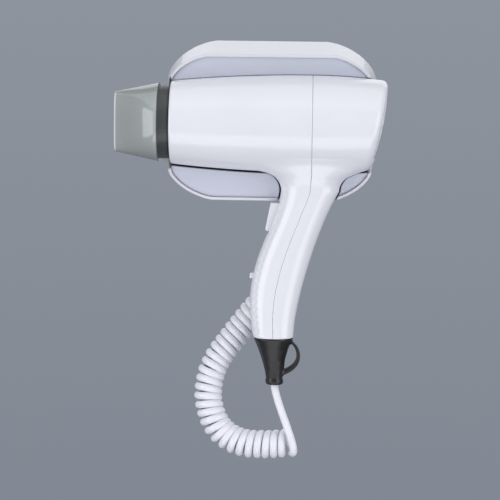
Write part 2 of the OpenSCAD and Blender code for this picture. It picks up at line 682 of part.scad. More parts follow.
module cord_tail() color([0.95, 0.95, 0.97]) tube(tail_route, cord_d);
module cord_coil() color([0.95, 0.95, 0.97]) tube(coil_route, curl_d, 12);
module cord_lead() color([0.95, 0.95, 0.97]) tube(lead_route, cord_d);

wall_plate();
holder_shell();
cradle_liner();
holder_screws();
terminal_block();
holder_leads();
cord_gland();
holder_cord_clamp();
holder_clamp_screws();
front_housing();
rear_housing();
housing_screws();
outlet_collar();
outlet_grille();
heater_sleeve();
mica_boards();
heating_coils();
thermostat();
thermal_fuse();
fan_duct();
motor_can();
motor_magnets();
motor_end_cap();
motor_bushes();
rectifier_board();
motor_shaft();
motor_rotor();
impeller();
filter_cap();
filter_mesh();
nozzle();
trigger();
trigger_pin();
trigger_spring();
microswitch();
speed_slider();
slide_switch();
noise_capacitor();
handle_leads();
strain_relief();
handset_cord_clamp();
handset_clamp_screws();
cord_tail();
cord_coil();
cord_lead();
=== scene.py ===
"""Wall-mounted hair dryer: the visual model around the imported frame."""
import json
import math

import bpy
import numpy as np
from mathutils import Matrix, Vector


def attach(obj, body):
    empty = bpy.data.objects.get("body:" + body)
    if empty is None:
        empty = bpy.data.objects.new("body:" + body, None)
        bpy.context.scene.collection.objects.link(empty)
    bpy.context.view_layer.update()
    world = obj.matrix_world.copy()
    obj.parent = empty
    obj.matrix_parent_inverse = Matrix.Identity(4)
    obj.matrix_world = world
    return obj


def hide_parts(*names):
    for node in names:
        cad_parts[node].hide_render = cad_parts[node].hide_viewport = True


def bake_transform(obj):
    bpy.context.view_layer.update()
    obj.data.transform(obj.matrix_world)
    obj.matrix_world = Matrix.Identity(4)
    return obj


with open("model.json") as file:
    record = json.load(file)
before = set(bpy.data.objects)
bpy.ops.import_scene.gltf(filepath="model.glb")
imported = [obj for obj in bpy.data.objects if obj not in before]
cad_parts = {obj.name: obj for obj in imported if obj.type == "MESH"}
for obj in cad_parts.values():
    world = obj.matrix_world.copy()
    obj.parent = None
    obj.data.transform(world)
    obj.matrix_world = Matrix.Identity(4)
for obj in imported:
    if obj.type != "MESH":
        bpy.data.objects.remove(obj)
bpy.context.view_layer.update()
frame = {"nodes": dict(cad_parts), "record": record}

MM = 0.001

# ---- driving dimensions, in millimetres, as in part.scad ---------------------

AY, AZ = -48.0, -2.6  # the barrel's axis
FRONT_X, CROWN_X, SEAM_X, REAR_X = -83.0, 32.0, 33.6, 89.9
REAR_TILT = math.radians(10.5)
BARREL_R = 40.0
FRONT_TAPER, REAR_TAPER = 5.9, 12.5
WALL = 2.2
HANDLE_TOP, HANDLE_END = -58.0, -180.3
FRONT_EDGE = (8.6, 5.4, -21.3, -18.4, -12.6)
REAR_EDGE = (56.6, 39.4, 32.9, 21.4, 20.6)
DEPTH_CURVE = (1.12, 1.04, 1.0, 0.9, 0.82)
HANDLE_D = 35.0
SECTION_POWER = 2.33
FRONT_FILLET, REAR_FILLET, SIDE_FILLET = 14.8, 13.5, 30.0
JOIN_R = 2.5
CAP_R = 31.0
BED_DROP = 0.8
AT_WALL = (88, 65.2, -69.4, 44, 32, 1.7, 46)
AT_FACE = (84, 53.9, -66.6, 32, 22, 1.55, 24)
HOLDER_X = -1.1
NOZZLE_LEN = 46.5
MOUTH_H, MOUTH_D = 49.0, 17.0
SEAM_GAP = 0.16
HOLDER_D = 47.0
SHELL_WALL = 2.5
CRADLE_GAP = 1.2
CORD_D = 6.4
CURL_R = 8.8
CURL_TURN = -1  # which way the curls wind
PATH_STEP = 2.0
NOZZLE_R = 34.4
NOZZLE_SIDES = 120
TRIGGER_PIN = (3.5, -88.0)
RELIEF_FOOT = -220.0


# ---- camera and light --------------------------------------------------------

def aim(obj, place, target, roll=0.0):
    """Put obj at place, looking at target, in millimetres."""
    ahead = (Vector(target) - Vector(place)).normalized()
    turn = ahead.to_track_quat("-Z", "Y").to_matrix().to_4x4()
    obj.matrix_world = Matrix.Translation(Vector(place) * MM) @ turn @ Matrix.Rotation(roll, 4, "Z")


def make_camera():
    data = bpy.data.cameras.new("camera")
    cam = bpy.data.objects.new("camera", data)
    bpy.context.collection.objects.link(cam)
    place, target = Vector((32, -1648, 60)), Vector((-16.4, -48, -107.7))
    aim(cam, place, target, math.radians(0.75))
    frame_width = 0.83 * 500
    data.sensor_width = 36
    data.lens = data.sensor_width * (target - place).length / frame_width
    data.clip_end = 50
    bpy.context.scene.camera = cam


def soft_box(name, place, target, size, watts, colour):
    """An area light, with its place in millimetres and its size in metres."""
    data = bpy.data.lights.new(name, "AREA")
    data.shape = "RECTANGLE"
    data.size, data.size_y = size
    data.energy = watts
    data.color = colour
    lamp = bpy.data.objects.new(name, data)
    bpy.context.collection.objects.link(lamp)
    aim(lamp, place, target)


def make_light():
    """A pale surround and five soft boxes: overhead, left, right, low in front and behind."""
    world = bpy.data.worlds.new("studio")
    world.use_nodes = True
    tree = world.node_tree
    sky = tree.nodes["Background"]
    where = tree.nodes.new("ShaderNodeTexCoord")
    split = tree.nodes.new("ShaderNodeSeparateXYZ")
    ramp = tree.nodes.new("ShaderNodeValToRGB")
    ramp.color_ramp.elements[0].position = 0.30
    ramp.color_ramp.elements[0].color = (0.19, 0.215, 0.26, 1)
    ramp.color_ramp.elements[1].position = 0.75
    ramp.color_ramp.elements[1].color = (0.36, 0.385, 0.43, 1)
    shift = tree.nodes.new("ShaderNodeMapRange")
    shift.inputs["From Min"].default_value = -1.0
    tree.links.new(where.outputs["Generated"], split.inputs["Vector"])
    tree.links.new(split.outputs["Z"], shift.inputs["Value"])
    tree.links.new(shift.outputs["Result"], ramp.inputs["Fac"])
    tree.links.new(ramp.outputs["Color"], sky.inputs["Color"])
    sky.inputs["Strength"].default_value = 1.0
    bpy.context.scene.world = world
    bpy.context.scene.view_settings.view_transform = "Standard"
    soft_box("overhead", (0, -560, 1150), (0, -560, 0), (2.6, 1.7), 10.5, (1.0, 0.995, 0.99))
    soft_box("left", (-1300, -1050, -60), (0, -50, -80), (1.0, 1.7), 13, (0.99, 0.975, 1.0))
    soft_box("right", (1300, -1050, -60), (0, -50, -80), (1.0, 1.7), 12, (0.99, 0.975, 1.0))
    soft_box("low", (0, -1250, -1150), (0, -50, -80), (2.0, 0.9), 9.5, (0.99, 0.975, 1.0))
    soft_box("behind", (200, 1500, 900), (0, 0, -80), (1.8, 1.2), 5, (1.0, 1.0, 1.0))


# ---- materials ---------------------------------------------------------------

def node(tree, kind, **values):
    made = tree.nodes.new(kind)
    for key, value in values.items():
        if hasattr(made, key):
            setattr(made, key, value)
        else:
            made.inputs[key.replace("_", " ")].default_value = value
    return made


def shader(name):
    mat = bpy.data.materials.new(name)
    mat.use_nodes = True
    tree = mat.node_tree
    return mat, tree, tree.nodes["Principled BSDF"]


def plastic(name, colour, rough, grain=0.02, grain_scale=1600.0, tint=0.03, coat=0.0, **sockets):
    """Moulded plastic: slightly uneven colour and gloss, and a fine orange-peel bump."""
    mat, tree, bsdf = shader(name)
    link = tree.links.new
    where = node(tree, "ShaderNodeTexCoord")
    broad = node(tree, "ShaderNodeTexNoise", Scale=22.0, Detail=3.0)
    link(where.outputs["Object"], broad.inputs["Vector"])
    ramp = node(tree, "ShaderNodeMix", data_type="RGBA")
    dark = [c * (1 - tint) for c in colour]
    ramp.inputs["A"].default_value = (*dark, 1)
    ramp.inputs["B"].default_value = (*[min(1.0, c * (1 + tint)) for c in colour], 1)
    link(broad.outputs["Fac"], ramp.inputs["Factor"])
    link(ramp.outputs["Result"], bsdf.inputs["Base Color"])
    fine = node(tree, "ShaderNodeTexNoise", Scale=grain_scale, Detail=2.0)
    link(where.outputs["Object"], fine.inputs["Vector"])
    gloss = node(tree, "ShaderNodeMapRange")
    gloss.inputs["To Min"].default_value = max(0.02, rough - 0.05)
    gloss.inputs["To Max"].default_value = rough + 0.05
    link(broad.outputs["Fac"], gloss.inputs["Value"])
    link(gloss.outputs["Result"], bsdf.inputs["Roughness"])
    if grain:
        bump = node(tree, "ShaderNodeBump", Strength=grain, Distance=0.0004)
        link(fine.outputs["Fac"], bump.inputs["Height"])
        link(bump.outputs["Normal"], bsdf.inputs["Normal"])
    bsdf.inputs["Coat Weight"].default_value = coat
    for key, value in sockets.items():
        bsdf.inputs[key.replace("_", " ")].default_value = value
    return mat


def metal(name, colour, rough, grain=0.08):
    """Drawn or plated metal with a fine grainy bump."""
    mat = plastic(name, colour, rough, grain, 900.0, tint=0.08)
    mat.node_tree.nodes["Principled BSDF"].inputs["Metallic"].default_value = 1.0
    return mat


def ramp_along(tree, source, stops):
    """A colour or value that changes along source, in metres or from 0 to 1."""
    first, last = stops[0][0], stops[-1][0]
    shift = node(tree, "ShaderNodeMapRange")
    shift.inputs["From Min"].default_value = first
    shift.inputs["From Max"].default_value = last
    tree.links.new(source, shift.inputs["Value"])
    ramp = tree.nodes.new("ShaderNodeValToRGB")
    marks = ramp.color_ramp.elements
    while len(marks) < len(stops):
        marks.new(0.5)
    for mark, (at, colour) in zip(marks, stops):
        mark.position = (at - first) / (last - first)
        mark.color = (*colour, 1)
    tree.links.new(shift.outputs["Result"], ramp.inputs["Fac"])
    return ramp.outputs["Color"]


def liner_with_painted_shade(name):
    """The holder's inner moulding: pale face, and the bed behind it painted near black as shade in the
    gap round the handset.
    """
    face, bed_shade = (0.58, 0.60, 0.68), (0.012, 0.012, 0.014)
    mat = plastic(name, face, 0.4, 0.03)
    tree = mat.node_tree
    where = node(tree, "ShaderNodeTexCoord")
    split = node(tree, "ShaderNodeSeparateXYZ")
    tree.links.new(where.outputs["Object"], split.inputs["Vector"])
    # painted shade: behind the face plane the colour turns near black, standing in for the shadow deep
    # in the bed
    back = ramp_along(tree, split.outputs["Y"],
                      [(-0.047, face), (-0.0446, face), (-0.0442, bed_shade), (0.0, bed_shade)])
    tree.links.new(back, tree.nodes["Principled BSDF"].inputs["Base Color"])
    return mat


def smoky(name):
    """Clear smoked plastic: denser towards its mouth, darker where it is seen edge on, with a painted
    highlight on its lip.
    """
    mat = plastic(name, (0.44, 0.47, 0.455), 0.09, 0.0, coat=0.7, Coat_Roughness=0.03)
    tree = mat.node_tree
    bsdf = tree.nodes["Principled BSDF"]
    where = node(tree, "ShaderNodeTexCoord")
    split = node(tree, "ShaderNodeSeparateXYZ")
    tree.links.new(where.outputs["Object"], split.inputs["Vector"])
    # painted highlight: the last millimetre at the mouth and round the lip is coloured near white, for
    # the bright edge of the clear wall
    body, rim = (0.42, 0.455, 0.44), (0.86, 0.88, 0.88)
    along = ramp_along(tree, split.outputs["X"],
                       [(-0.131, rim), (-0.1286, rim), (-0.1279, body), (-0.08, body)])
    facing = node(tree, "ShaderNodeLayerWeight", Blend=0.35)
    dark = node(tree, "ShaderNodeMix", data_type="RGBA", blend_type="MULTIPLY")
    dark.inputs["B"].default_value = (0.36, 0.35, 0.30, 1)
    tree.links.new(facing.outputs["Facing"], dark.inputs["Factor"])
    tree.links.new(along, dark.inputs["A"])
    tree.links.new(dark.outputs["Result"], bsdf.inputs["Base Color"])
    dense, thin = (0.86,) * 3, (0.07,) * 3
    alpha = ramp_along(tree, split.outputs["X"],
                       [(-0.131, dense), (-0.0934, dense), (-0.0926, thin), (-0.08, thin)])
    tree.links.new(alpha, bsdf.inputs["Alpha"])
    return mat


def make_materials():
    return {
        "white_casing": plastic("casing_white", (0.80, 0.80, 0.83), 0.24, 0.012, coat=0.5,
                                Coat_Roughness=0.12),
        "holder_white": plastic("holder_white", (0.71, 0.705, 0.74), 0.32, 0.02, coat=0.3),
        "liner_grey": liner_with_painted_shade("liner_grey"),
        "plate_steel": metal("plate_steel", (0.62, 0.63, 0.65), 0.42),
        "screw_steel": metal("screw_steel", (0.58, 0.58, 0.60), 0.32),
        "block_cream": plastic("block_cream", (0.80, 0.77, 0.66), 0.5),
        "lead_blue": plastic("lead_blue", (0.05, 0.12, 0.42), 0.45),
        "lead_dark": plastic("lead_dark", (0.05, 0.05, 0.055), 0.45),
        "cord_white": plastic("cord_white", (0.82, 0.82, 0.86), 0.33, 0.05, 900.0, coat=0.2),
        "inner_grey": plastic("inner_grey", (0.62, 0.62, 0.64), 0.5, 0.05),
        "black_plastic": plastic("black_plastic", (0.012, 0.012, 0.014), 0.38, 0.06, 700.0),
        "relief_black": plastic("relief_black", (0.010, 0.009, 0.009), 0.34, 0.10, 700.0),
        "mica": plastic("mica", (0.52, 0.44, 0.28), 0.45, 0.12, 300.0, tint=0.2),
        "heater_wire": metal("heater_wire", (0.36, 0.24, 0.17), 0.45),
        "thermostat_metal": metal("thermostat_metal", (0.75, 0.76, 0.78), 0.3),
        "motor_steel": metal("motor_steel", (0.55, 0.56, 0.58), 0.3),
        "magnet_grey": plastic("magnet_grey", (0.05, 0.05, 0.052), 0.7, 0.2, 500.0),
        "bush_brass": metal("bush_brass", (0.66, 0.50, 0.24), 0.35),
        "winding_copper": metal("winding_copper", (0.62, 0.28, 0.14), 0.35, 0.4),
        "board_green": plastic("board_green", (0.02, 0.14, 0.05), 0.4),
        "cap_white": plastic("cap_white", (0.80, 0.80, 0.83), 0.34, 0.02, coat=0.2),
        "mesh_grey": metal("mesh_grey", (0.30, 0.31, 0.33), 0.5),
        "smoke_clear": smoky("smoke_clear"),
        "trigger_white": plastic("trigger_white", (0.80, 0.80, 0.83), 0.26, 0.012, coat=0.4),
        "capacitor_yellow": plastic("capacitor_yellow", (0.62, 0.42, 0.04), 0.4),
    }


def dress_cad(mats):
    """Give every CAD node the material of its slot."""
    slots = {s["node"]: s["material_slot"] for s in frame["record"]["subparts"]}
    for name, obj in frame["nodes"].items():
        obj.data.materials.clear()
        obj.data.materials.append(mats[slots[name]])


# ---- signed distances, in millimetres ---------------------------------------

def bez(c, t):
    row = [np.full_like(t, v) for v in c]
    while len(row) > 1:
        row = [a * (1 - t) + b * t for a, b in zip(row, row[1:])]
    return row[0]


def round_union(a, b, r):
    """The union of two solids with a concave fillet of radius r."""
    return np.maximum(r, np.minimum(a, b)) - np.hypot(np.maximum(r - a, 0), np.maximum(r - b, 0))


def round_cut(a, b, r):
    """What two solids share, with a convex round of radius r along the edge."""
    return np.minimum(-r, np.maximum(a, b)) + np.hypot(np.maximum(r + a, 0), np.maximum(r + b, 0))


def barrel_at(x):
    return BARREL_R - np.where(x < CROWN_X, FRONT_TAPER, REAR_TAPER) * ((CROWN_X - x) / 115) ** 2


def rear_frame(p):
    """Distance out of the sloping rear end, and from its centre."""
    x, z = p[:, 0] - REAR_X, p[:, 2] - AZ
    out = x * math.cos(REAR_TILT) - z * math.sin(REAR_TILT)
    across = x * math.sin(REAR_TILT) + z * math.cos(REAR_TILT)
    return out, np.hypot(p[:, 1] - AY, across)


def dome(rho):
    """How far the rear end stands out of its plane."""
    return 1.8 - 2.7 * (rho / 33) ** 2


def barrel_sdf(p):
    side = np.hypot(p[:, 1] - AY, p[:, 2] - AZ) - barrel_at(p[:, 0])
    out, rho = rear_frame(p)
    crown = (out - dome(np.minimum(rho, 42))) * 0.98
    return round_cut(round_cut(side, crown, 4.6), FRONT_X - p[:, 0], 1.4)


def flare(z, r, reach=0.9):
    """A concave corner of radius r above the handle's top, which ends in a straight slope."""
    u = np.maximum(0, z - HANDLE_TOP) / r
    c = np.minimum(u, reach)
    return r * (1 - np.sqrt(1 - c * c) + (u - c) * c / np.sqrt(1 - c * c))


def down(z):
    return np.clip((HANDLE_TOP - z) / (HANDLE_TOP - HANDLE_END), 0, 1)


def edge_front(z):
    return bez(FRONT_EDGE, down(z)) - flare(z, FRONT_FILLET)


def edge_rear(z):
    return bez(REAR_EDGE, down(z)) + flare(z, REAR_FILLET)


def middle_x(z):
    k = np.clip((z - HANDLE_TOP) / 14, 0, 1)
    return (1 - k) * (bez(FRONT_EDGE, down(z)) + bez(REAR_EDGE, down(z))) / 2 + k * SEAM_X


def handle_share(x, y, z):
    """Share of the way from the handle's middle line to its surface."""
    mid = middle_x(z)
    dx, dy = x - mid, y - AY
    wide = np.where(dx < 0, mid - edge_front(z), edge_rear(z) - mid)
    deep = HANDLE_D / 2 * bez(DEPTH_CURVE, down(z)) + flare(z, SIDE_FILLET, 0.35)
    power = SECTION_POWER
    share = ((np.abs(dx) / wide) ** power + (np.abs(dy) / deep) ** power) ** (1 / power)
    return share, np.hypot(dx, dy)


def handle_side(x, y, z):
    share, far = handle_share(x, y, z)
    return np.where(far > 1e-6, far * (1 - 1 / np.maximum(share, 1e-3)), -16.0)


def handle_sdf(p):
    found = np.full(len(p), 60.0)
    near = p[:, 2] < -30
    x, y, z = p[near].T
    side = handle_side(x, y, z)
    rise = handle_side(x, y, z + 0.2) - side
    side = np.clip(side / np.hypot(1, rise / 0.2), -16, None)
    side = round_cut(side, rear_frame(p[near])[0] + 0.8, 2.0)
    found[near] = round_cut(side, HANDLE_END - z, 1.0)
    return found


def notch_depth(p):
    """The grip: a row of small dimples along both sides of the handle's front."""
    first, last, pitch = -54.0, -176.0, 6.0
    row = np.clip(np.round((first - p[:, 2]) / pitch), 0, round((first - last) / pitch))
    z0 = first - pitch * row
    x0 = edge_front(z0) + 4.6
    lean = 0.25 * (p[:, 2] - z0)
    far = np.sqrt(((p[:, 0] - x0 - lean) / 1.25) ** 2 + ((p[:, 2] - z0) / 2.0) ** 2)
    return 0.55 * np.exp(-(far ** 3)) * (np.abs(p[:, 1] - AY) > 4)


def handset_sdf(p):
    return round_union(barrel_sdf(p), handle_sdf(p), JOIN_R) + notch_depth(p)


# ---- meshes from signed distances --------------------------------------------

def spaced(*stops):
    """Grid lines: spaced(start, step, end, step, end ...)."""
    parts = [np.array([stops[0]])]
    for step, end in zip(stops[1::2], stops[2::2]):
        count = max(1, round((end - parts[-1][-1]) / step))
        parts.append(np.linspace(parts[-1][-1], end, count + 1)[1:])
    return np.concatenate(parts)


def grid_values(sdf, axes):
    xs, ys, zs = axes
    values = np.empty((len(xs), len(ys), len(zs)), np.float32)
    yy, zz = np.meshgrid(ys, zs, indexing="ij")
    for i in range(0, len(xs), 8):
        some = xs[i:i + 8]
        p = np.stack([np.repeat(some, yy.size), np.tile(yy.ravel(), len(some)),
                      np.tile(zz.ravel(), len(some))], 1)
        values[i:i + 8] = sdf(p).reshape(len(some), *yy.shape)
    return values


def gradient(sdf, p, h=0.05):
    steps = np.eye(3) * h
    return np.stack([(sdf(p + s) - sdf(p - s)) / (2 * h) for s in steps], 1)


def settle(sdf, p, rounds=3):
    """Move points on to the surface."""
    for _ in range(rounds):
        g = gradient(sdf, p)
        size = np.maximum((g ** 2).sum(1), 0.05)
        step = sdf(p) / size
        p = p - np.clip(step, -1.0, 1.0)[:, None] * g
    return p


def surface_net(sdf, axes):
    """A quad mesh on the surface where sdf is zero."""
    v = grid_values(sdf, axes)
    inside = v < 0
    nx, ny, nz = (n - 1 for n in v.shape)
    total = np.zeros((nx, ny, nz, 3), np.float32)
    count = np.zeros((nx, ny, nz), np.int16)
    corners = [(i, j, k) for i in (0, 1) for j in (0, 1) for k in (0, 1)]
    for a in corners:
        for axis in range(3):
            if a[axis]:
                continue
            b = tuple(c + (n == axis) for n, c in enumerate(a))
            va, vb = (v[c[0]:c[0] + nx, c[1]:c[1] + ny, c[2]:c[2] + nz] for c in (a, b))
            cross = (va < 0) != (vb < 0)
            t = np.where(cross, va / np.where(cross, va - vb, 1), 0)
            for n in range(3):
                total[..., n] += cross * (a[n] + (t if n == axis else 0))
            count += cross
    used = count > 0
    index = -np.ones((nx, ny, nz), np.int64)
    index[used] = np.arange(used.sum())
    cell = np.argwhere(used)
    frac = total[used] / count[used][:, None]
    points = np.stack([ax[c] + f * (ax[c + 1] - ax[c]) for ax, c, f in zip(axes, cell.T, frac.T)], 1)
    quads = []
    for axis in range(3):
        u, w = [n for n in range(3) if n != axis]
        lo = [slice(1, n) for n in (nx, ny, nz)]
        lo[axis] = slice(0, (nx, ny, nz)[axis])
        hi = list(lo)
        hi[axis] = slice(1, (nx, ny, nz)[axis] + 1)
        a, b = inside[tuple(lo)], inside[tuple(hi)]
        where = np.argwhere(a != b)
        where[:, u] += 1
        where[:, w] += 1
        def at(du, dw):
            c = where.copy()
            c[:, u] -= du
            c[:, w] -= dw
            return index[tuple(c.T)]
        quad = np.stack([at(1, 1), at(0, 1), at(0, 0), at(1, 0)], 1)
        flip = a[a != b] != (axis == 1)
        quad[~flip] = quad[~flip][:, ::-1]
        quads.append(quad)
    return points, np.concatenate(quads)


def clip_faces(points, faces, g, level):
    """Keep what has g below level, with a clean edge along it."""
    value = g(points) - level
    keep = value < 0
    held = [list(f) for f in faces[keep[faces].all(1)]]
    new_points, cuts = [], {}
    def cut(a, b):
        key = (min(a, b), max(a, b))
        if key not in cuts:
            t = value[a] / (value[a] - value[b])
            cuts[key] = len(points) + len(new_points)
            new_points.append(points[a] * (1 - t) + points[b] * t)
        return cuts[key]
    mixed = faces[keep[faces].any(1) & ~keep[faces].all(1)]
    for face in mixed:
        poly = []
        for a, b in zip(face, np.roll(face, -1)):
            if keep[a]:
                poly.append(a)
            if keep[a] != keep[b]:
                poly.append(cut(a, b))
        if len(poly) > 2:
            held.append(poly)
    if new_points:
        points = np.concatenate([points, np.array(new_points)])
    return points, held


def boundary_edges(faces):
    seen = {}
    for face in faces:
        for a, b in zip(face, face[1:] + face[:1]):
            seen[(a, b)] = True
    return [(a, b) for a, b in seen if (b, a) not in seen]


def shell_mesh(sdf, points, faces, g, level, lip, wall):
    """A closed shell: the skin cut along g, its edge rounded by lip, and its inside face."""
    points, faces = clip_faces(points, faces, g, level - lip)
    faces = [[int(i) for i in f] for f in faces]
    edges = boundary_edges(faces)
    rim = np.array(sorted({i for e in edges for i in e}))
    for _ in range(3):
        p = points[rim]
        gg = gradient(g, p)
        step = (g(p) - (level - lip)) / np.maximum((gg ** 2).sum(1), 0.05)
        p = p - np.clip(step, -0.5, 0.5)[:, None] * gg
        points[rim] = settle(sdf, p, 1)
    used = np.unique(np.concatenate([np.array(f) for f in faces]))
    remap = -np.ones(len(points), np.int64)
    remap[used] = np.arange(len(used))
    points = points[used]
    faces = [[int(remap[i]) for i in f] for f in faces]
    rim = remap[rim]
    normal = gradient(sdf, points)
    normal /= np.linalg.norm(normal, axis=1)[:, None]
    n_rim = normal[rim]
    out = gradient(g, points[rim])
    out -= (out * n_rim).sum(1)[:, None] * n_rim
    out /= np.maximum(np.linalg.norm(out, axis=1), 1e-6)[:, None]
    n = len(points)
    rings = []
    for turn in (30, 60, 90):
        a = math.radians(turn)
        rings.append(points[rim] + out * lip * math.sin(a) - n_rim * lip * (1 - math.cos(a)))
    rings.append(points[rim] + out * lip - n_rim * wall)
    verts = np.concatenate([points, points - normal * wall, *rings])
    place = {int(v): k for k, v in enumerate(rim)}
    out_faces = faces + [[i + n for i in reversed(f)] for f in faces]
    count = len(rim)
    for a, b in boundary_edges(faces):
        ka, kb = place[a], place[b]
        chain_a = [a] + [2 * n + r * count + ka for r in range(4)] + [a + n]
        chain_b = [b] + [2 * n + r * count + kb for r in range(4)] + [b + n]
        for r in range(5):
            out_faces.append([chain_b[r], chain_a[r], chain_a[r + 1], chain_b[r + 1]])
    return verts, out_faces


def add_mesh(name, verts, faces, mat):
    """A new object from points in millimetres."""
    mesh = bpy.data.meshes.new(name)
    mesh.from_pydata((np.asarray(verts) * MM).tolist(), [], [list(map(int, f)) for f in faces])
    mesh.validate()
    mesh.update()
    mesh.polygons.foreach_set("use_smooth", [True] * len(mesh.polygons))
    obj = bpy.data.objects.new(name, mesh)
    bpy.context.collection.objects.link(obj)
    mesh.materials.append(mat)
    return obj


def stand_for(obj, body, slot, *nodes):
    """Put a piece on its body, in place of the plain nodes."""
    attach(obj, body)
    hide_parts(*nodes)


# ---- the handset's casing ----------------------------------------------------

TRIGGER_SLOT = (-80.1, 13.4, 5.9)  # middle height, half height, half width
SLIDE_Z = -129.0
SCREW_Z = (-104.0, -163.0)


def box2(u, w, hu, hw, r):
    """Distance from a rounded rectangle."""
    qu, qw = np.abs(u) - hu + r, np.abs(w) - hw + r
    return np.hypot(np.maximum(qu, 0), np.maximum(qw, 0)) + np.minimum(np.maximum(qu, qw), 0) - r


def foot_cut(x, y, z):
    """Above zero in the middle of the handle's open foot."""
    share, _ = handle_share(x, y, z)
    return np.where(z < HANDLE_END + 1.5, (0.8 - share) * 16, -9)


def front_edge_cut(p):
    """Above zero where the front casing has no material."""
    x, y, z = p.T
    seam = (x - middle_x(z)) * 0.95
    outlet = np.where(x < FRONT_X + 12, 30.6 - np.hypot(y - AY, z - AZ), -9)
    front_side = x < middle_x(z) - 8
    mid, half, wide = TRIGGER_SLOT
    trigger = np.where(front_side, -box2(y - AY, z - mid, wide, half, 1.2), -9)
    slide = np.where(front_side, -box2(y - AY, z - SLIDE_Z, 2.7, 6.0, 1.0), -9)
    return np.maximum.reduce([seam, outlet, trigger, slide, foot_cut(x, y, z)])


def rear_edge_cut(p):
    """Above zero where the rear casing has no material."""
    x, y, z = p.T
    seam = (middle_x(z) - x) * 0.95
    out, rho = rear_frame(p)
    inlet = np.where(out > -6, CAP_R + 0.25 - rho, -9)
    screws = [np.where(x > middle_x(z) + 8, 3.1 - np.hypot(y - AY, z - h), -9) for h in SCREW_Z]
    return np.maximum.reduce([seam, inlet, foot_cut(x, y, z), *screws])


def make_casing(mats):
    axes = (spaced(-86, 1.3, -20, 0.8, 22, 1.3, 99),
            spaced(-90.5, 1.3, -68, 0.8, -56, 1.3, -40, 0.8, -28, 1.3, -5.5),
            spaced(-183, 0.8, -50, 1.3, 41))
    points, quads = surface_net(handset_sdf, axes)
    points = settle(handset_sdf, points)
    for name, cut in (("front_casing", front_edge_cut), ("rear_casing", rear_edge_cut)):
        verts, faces = shell_mesh(handset_sdf, points, quads, cut, -SEAM_GAP / 2, 0.35, WALL)
        obj = add_mesh(name, verts, faces, mats["white_casing"])
        stand_for(obj, "handset", "white_casing", name.replace("casing", "housing"))


# ---- the cord ------------------------------------------------------------------

TAIL_ROUTE = [(5.4, -48, -195), (5.4, -48, -207), (5.4, -48, -219.6), (6.4, -49.5, -225.6),
              (8.8, -52, -233.6), (12.3, -55, -243), (16.2, -58, -253), (19.8, -59.6, -263),
              (22, -59.5, -271), (22.4, -57, -277)]
COIL_ROUTE = [(19, -47.6, -269.6), (12, -47, -270.4), (3.5, -46, -271.4), (-5, -45, -271.8),
              (-13.4, -43.6, -272), (-20.8, -42, -271.2), (-27.6, -40, -269.4), (-33.8, -38, -266.4),
              (-39, -36.5, -262.4), (-43.4, -35, -257), (-47, -33, -250), (-49.4, -31, -242.6),
              (-50.8, -29, -234.6), (-50.6, -27, -226.8), (-49.4, -25, -219.4), (-47.6, -23.5, -212.6),
              (-42.4, -20.8, -201.6), (-34.6, -18.4, -190.6), (-26, -16, -179.2), (-17, -14, -167.6),
              (-8.6, -13.4, -157.2), (-1, -13, -145), (4, -13, -130), (8, -13, -114), (11.4, -13, -98)]
LEAD_ROUTE = [(12.6, -13, -94), (14, -13, -88), (17, -13, -83), (20.6, -13, -78.6),
              (22, -13, -74), (22, -13, -66), (22, -13, -58), (22, -13, -50)]


def smooth_path(route, step):
    """Points every step millimetres along a smooth curve through the route."""
    p = np.array(route, float)
    p = np.concatenate([[2 * p[0] - p[1]], p, [2 * p[-1] - p[-2]]])
    fine = []
    for a, b, c, d in zip(p, p[1:], p[2:], p[3:]):
        for t in np.linspace(0, 1, 24, endpoint=False):
            fine.append(0.5 * (2 * b + (c - a) * t + (2 * a - 5 * b + 4 * c - d) * t ** 2
                               + (3 * b - a - 3 * c + d) * t ** 3))
    fine = np.array(fine + [p[-2]])
    along = np.concatenate([[0], np.cumsum(np.linalg.norm(np.diff(fine, axis=0), axis=1))])
    want = np.linspace(0, along[-1], max(2, round(along[-1] / step) + 1))
    return np.stack([np.interp(want, along, fine[:, n]) for n in range(3)], 1)


def frames_along(path):
    """Two directions across the path at each point, which don't twist along it."""
    t = np.gradient(path, axis=0)
    t /= np.linalg.norm(t, axis=1)[:, None]
    u = np.zeros_like(t)
    start = np.cross(t[0], [0, 1, 0])
    u[0] = start / np.linalg.norm(start)
    for i in range(1, len(path)):
        v = u[i - 1] - t[i] * (u[i - 1] @ t[i])
        u[i] = v / np.linalg.norm(v)
    return u, np.cross(t, u)


def tube_mesh(path, radius, sides=14):
    u, v = frames_along(path)
    ring = [2 * math.pi * k / sides for k in range(sides)]
    verts = np.concatenate([[p + (a * math.cos(r) + b * math.sin(r)) * radius for r in ring]
                            for p, a, b in zip(path, u, v)])
    faces = []
    for j in range(len(path) - 1):
        for k in range(sides):
            a, b = j * sides + k, j * sides + (k + 1) % sides
            faces.append([a, b, b + sides, a + sides])
    last = (len(path) - 1) * sides
    faces += [list(range(sides))[::-1], [last + k for k in range(sides)]]
    return verts, faces


